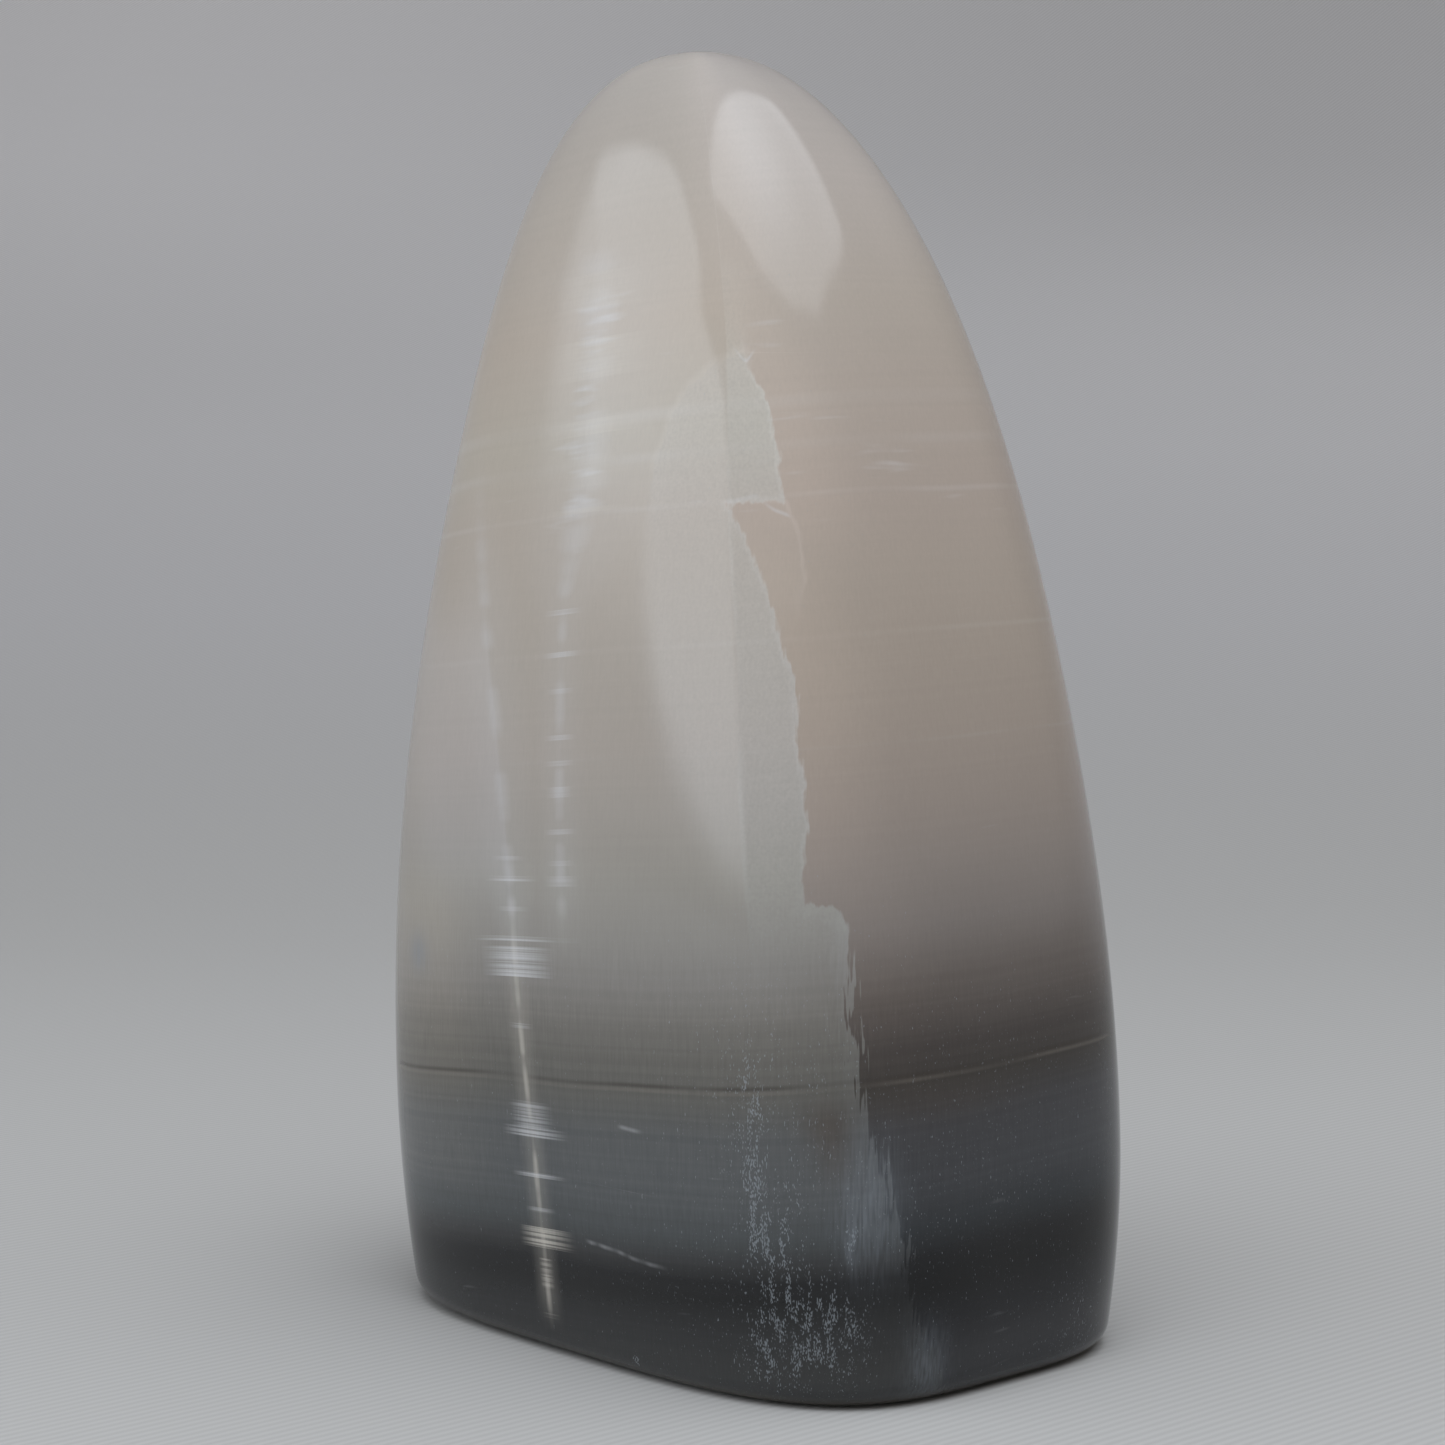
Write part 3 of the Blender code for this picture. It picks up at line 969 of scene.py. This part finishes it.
# %% [markdown]
# ## The sawn base
#
# Nobody polishes the underside. It was cut with a diamond saw and rubbed flat, so it shows the same
# layers, only paler and matt, with faint curved saw marks. It is a second finish on the faces of
# the base, and it shares the groups for depth, edge and layers with the first.

# %% Sawn finish
sawn, tree, shader, spot = new_finish("sawn_calcite")
depth = use(depth_group, {"Place": spot})["Depth"]
smoky = smoky_edge()[0]
layers = use(layer_group, {"Depth": depth, "Smoky": smoky["Mask"], "Place": spot})
SAW_CENTRE = (0.12, 0.09, 0.0)
SAWN_GREY = (0.366, 0.366, 0.366, 1.0)
centred = compare("ADD", spot, SAW_CENTRE)["Vector"]
saw = join("ShaderNodeTexWave", {"Vector": centred, "Scale": 260.0, "Distortion": 1.2, "Detail": 2.0},
            wave_type="RINGS", rings_direction="Z").outputs["Fac"]
dust = speckle(spot, 900.0, 3.0)
matt = blend(line(dust, 0.25, 0.08), layers["Color"], SAWN_GREY)
grit = line(saw, 0.5, dust)
coat(sawn, matt, line(dust, 0.2, 0.5), grit, 0.5, 0.00006)
base_faces = COLUMNS + COLUMNS * (BASE_RINGS - 1)
slots = np.zeros(len(mesh.polygons), np.int32)
slots[:base_faces] = 1
mesh.polygons.foreach_set("material_index", slots)
print(base_faces, "faces carry the sawn finish")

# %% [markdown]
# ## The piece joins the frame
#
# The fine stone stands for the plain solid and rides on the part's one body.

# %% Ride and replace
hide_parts("calcite_stone")
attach(stone, "root")

# %% [markdown]
# ## Table and backdrop
#
# The stone stands on a pale cloth-covered table that curves up into a backdrop. One sheet makes
# both: a profile that runs flat, turns through a quarter circle and rises, carried straight across.
# The cloth is paler towards the top, carries a painted shade that makes it a little darker to the right high
# up, and carries the fine ribs of its weave.

# %% Directions of the camera's view
CAMERA_PLACE = Vector((0.25599, -0.23802, 0.08977))
VIEW_LEVEL = Vector((-0.7374, 0.6755, 0.0)).normalized()
VIEW_DROP = math.radians(3.769)
TO_RIGHT = Vector((VIEW_LEVEL.y, -VIEW_LEVEL.x, 0.0))
TO_CAMERA = -VIEW_LEVEL
UP = Vector((0.0, 0.0, 1.0))


def in_room(right, near, up):
    """A point given as metres to the camera's right, towards the camera, and up."""
    return TO_RIGHT * right + TO_CAMERA * near + UP * up


# %% The sheet of floor and backdrop
FLOOR_FRONT = 2.2
FLOOR_BACK = 0.30
TURN_RADIUS = 1.30
BACKDROP_HEIGHT = 2.4
HALF_SPREAD = 3.0
curve = np.linspace(0, math.pi / 2, 33)
flat = np.linspace(FLOOR_FRONT, -FLOOR_BACK, 12)
turned = -FLOOR_BACK - TURN_RADIUS * np.sin(curve[1:])
near = np.concatenate([flat, turned, [-FLOOR_BACK - TURN_RADIUS]])
rise = np.concatenate([np.zeros(12), TURN_RADIUS * (1 - np.cos(curve[1:])), [BACKDROP_HEIGHT]])
sideways = np.linspace(-HALF_SPREAD, HALF_SPREAD, 9)
grid_near, grid_side = np.meshgrid(near, sideways, indexing="ij")
grid_rise = np.repeat(rise[:, None], len(sideways), axis=1)
axes = np.array([TO_RIGHT, TO_CAMERA, UP])
sheet_points = np.stack([grid_side, grid_near, grid_rise], axis=-1).reshape(-1, 3) @ axes
rows, across = grid_near.shape
corner = (np.arange(rows - 1)[:, None] * across + np.arange(across - 1)).ravel()
sheet_faces = np.column_stack([corner, corner + across, corner + across + 1, corner + 1])
sheet_mesh = bpy.data.meshes.new("table_and_backdrop")
sheet_mesh.from_pydata(sheet_points.tolist(), [], sheet_faces.tolist())
sheet_mesh.shade_smooth()
backdrop = bpy.data.objects.new("table_and_backdrop", sheet_mesh)
bpy.context.scene.collection.objects.link(backdrop)
print("sheet of", rows, "by", across, "points")

# %% The cloth, as (height in metres, tone, blue to the tone), with its weave
CLOTH_TONES = (
    (0.0, 0.505, 0.995), (0.06, 0.61, 1.03), (0.115, 0.69, 1.03), (0.18, 0.735, 1.03),
    (0.335, 0.79, 1.03),
)
CLOTH_SPAN = 0.4
CLOTH_RED = 0.998
WEAVE = {"Scale": 240.0, "Distortion": 0.4, "Detail": 0.0}
cloth, tree, shader, spot = new_finish("pale_cloth")
up = height_of(spot)
tones = [(at_height / CLOTH_SPAN, (CLOTH_RED * tone, tone, blue * tone, 1.0))
         for at_height, tone, blue in CLOTH_TONES]
shade = ramp(reckon("DIVIDE", up, CLOTH_SPAN), tones)
weave = join("ShaderNodeTexWave", {"Vector": spot, **WEAVE}, bands_direction="X").outputs["Fac"]
# Painted shade: the cloth is darkened towards the right high up.
painted_shade_right = times(step(along(spot, TO_RIGHT), -0.3, 0.3, 0.11, -0.14), step(up, 0.14, 0.26))
thread = reckon("ADD", painted_shade_right, line(weave, 0.10, 0.95))
woven = scaled(shade, thread)
fill(shader, {"Base Color": woven, "Roughness": 0.9, "Specular IOR Level": 0.1})
sheet_mesh.materials.append(cloth)
print("the cloth has", len(tones), "tones")


# %% [markdown]
# ## Light
#
# A polished stone is lit by what it mirrors. The bright window near the crown is a soft square
# overhead, and the pale column and the pale leaf below it are two panes of one soft wall to the
# left. A studio lamp gets such a shape from straight blades set in front of it, so each lamp here is
# one plain area light whose own nodes cut its light off beyond the blades.

# %% A blade in front of a lamp
def blade(spot, first, second, middle, soft):
    """The share of light beside a straight blade: a smooth step, as wide as the softness, over the
    distance from the line through two points, positive towards the lamp's middle."""
    edge = (second - first).normalized()
    inward = middle - first
    inward = (inward - edge * inward.dot(edge)).normalized() / soft
    start = inward.dot(first)
    return step(along(spot, inward), start - 0.5, start + 0.5)


def shuttered(spot, panes, on_lamp):
    """The most light that any pane lets through, where a pane is the product of its blades. Each
    pane is its middle and its blades, in metres across and up the lamp, which on_lamp places."""
    best = 0.0
    for middle, blades in panes:
        light = 1.0
        for first, second, soft in blades:
            cut = blade(spot, on_lamp(*first), on_lamp(*second), on_lamp(*middle), soft)
            light = times(light, cut)
        best = reckon("MAXIMUM", best, light)
    return best


def soft_box(name, centre, facing, size, radiance, tint, panes, on_lamp):
    """An area light: its power is radiance times pi times its area, so its face is as bright in a
    mirror as the radiance says. It faces along a direction, and its panes shape its light."""
    light = bpy.data.lights.new(name, "AREA")
    light.size = size
    light.energy = radiance * math.pi * size * size
    light.color = tint
    light.use_nodes = True
    tree = light.node_tree
    spot = place(tree, "ShaderNodeNewGeometry").outputs["Position"]
    fill(tree.nodes["Emission"], {"Strength": shuttered(spot, panes, on_lamp)})
    lamp = bpy.data.objects.new(name, light)
    lamp.location = centre
    lamp.rotation_euler = facing.to_track_quat("-Z", "Y").to_euler()
    bpy.context.scene.collection.objects.link(lamp)
    print(name, "shines at", round(light.energy, 2), "W before its blades")
    return tree, spot


# %% The lamp overhead, with its hot middle
OVERHEAD_LEVEL = 1.0
OVERHEAD_SIZE = 1.9
OVERHEAD_RADIANCE = 1.8
OVERHEAD_TINT = (0.96, 1.0, 1.05)
HOT_RADIUS = 0.62
OVERHEAD_PANE = ((0.16, 0.40), (((0.28, -0.26), (-0.64, 0.41), 0.10), ((-0.66, 0.36), (-0.80, 0.62), 0.12),
                                ((-0.76, 0.54), (-0.31, 0.95), 0.10), ((-0.31, 0.96), (0.20, 1.04), 0.14),
                                ((0.10, 1.05), (0.64, 0.84), 0.12), ((0.62, 0.86), (0.98, 0.20), 0.12),
                                ((0.96, 0.30), (0.96, -0.10), 0.10), ((0.98, 0.02), (0.43, -0.31), 0.12)))
HOT_SPOT = in_room(0.0, 0.36, OVERHEAD_LEVEL)


def on_overhead(right, near):
    """A point of the overhead lamp, from metres to the right and towards the camera."""
    return in_room(right, near, OVERHEAD_LEVEL)


DOWN = Vector((0, 0, -1))
tree, spot = soft_box("overhead_square", on_overhead(0.10, 0.37), DOWN, OVERHEAD_SIZE, OVERHEAD_RADIANCE,
                      OVERHEAD_TINT, (OVERHEAD_PANE,), on_overhead)
strength = tree.nodes["Emission"].inputs["Strength"].links[0].from_socket
away = compare("DISTANCE", spot, HOT_SPOT)["Value"]
hot = step(away, HOT_RADIUS, 0.0, 1.0, 2.0)
fill(tree.nodes["Emission"], {"Strength": times(strength, hot)})

# %% The soft wall to the left, with two panes
WALL_RIGHT = -1.0
WALL_SIZE = 1.35
WALL_RADIANCE = 1.80
WALL_TINT = (0.94, 1.0, 1.07)
ROOM_GREY = (0.262, 0.25, 0.238, 1.0)
COLUMN_PANE = ((0.15, 0.60), (((-0.33, 0.76), (-0.12, 0.20), 0.12), ((-0.30, 0.80), (0.15, 0.91), 0.12),
                              ((0.15, 0.91), (0.50, 0.80), 0.12), ((0.52, 0.85), (0.52, 0.50), 0.14),
                              ((0.0, 0.24), (0.5, 0.24), 0.22)))
LEAF_PANE = ((0.60, 0.35), (((0.05, 0.29), (0.18, 0.155), 0.12), ((0.18, 0.155), (0.60, 0.055), 0.12),
                            ((0.60, 0.06), (0.95, 0.085), 0.09), ((0.80, 0.66), (0.93, -0.02), 0.05),
                            ((0.3, 0.66), (0.9, 0.66), 0.06)))


def on_wall(near, rise):
    """A point of the left wall, from metres towards the camera and up."""
    return in_room(WALL_RIGHT, near, rise)


soft_box("left_wall", on_wall(0.28, 0.50), TO_RIGHT, WALL_SIZE, WALL_RADIANCE, WALL_TINT,
         (COLUMN_PANE, LEAF_PANE), on_wall)
world = bpy.data.worlds.new("studio_grey")
world.use_nodes = True
world.node_tree.nodes["Background"].inputs["Color"].default_value = ROOM_GREY
bpy.context.scene.world = world

# %% [markdown]
# ## Camera
#
# The photograph was taken from just above the stone's middle, a little more than a third of a metre
# away, with a long lens. Its place was worked out once from the stone's outline.

# %% Camera
LENS_MM = 78.48
SENSOR_MM = 36.0
camera_data = bpy.data.cameras.new("camera")
camera_data.lens = LENS_MM
camera_data.sensor_width = SENSOR_MM
camera_data.clip_start = 0.01
camera_data.clip_end = 20.0
camera = bpy.data.objects.new("camera", camera_data)
aim = VIEW_LEVEL * math.cos(VIEW_DROP) - UP * math.sin(VIEW_DROP)
camera.location = CAMERA_PLACE
camera.rotation_euler = aim.to_track_quat("-Z", "Y").to_euler()
bpy.context.scene.collection.objects.link(camera)
bpy.context.scene.camera = camera
bpy.context.scene.view_settings.view_transform = "Standard"
print("camera", round((CAMERA_PLACE - Vector((0, 0, 0.07))).length, 3), "m from the stone's middle")
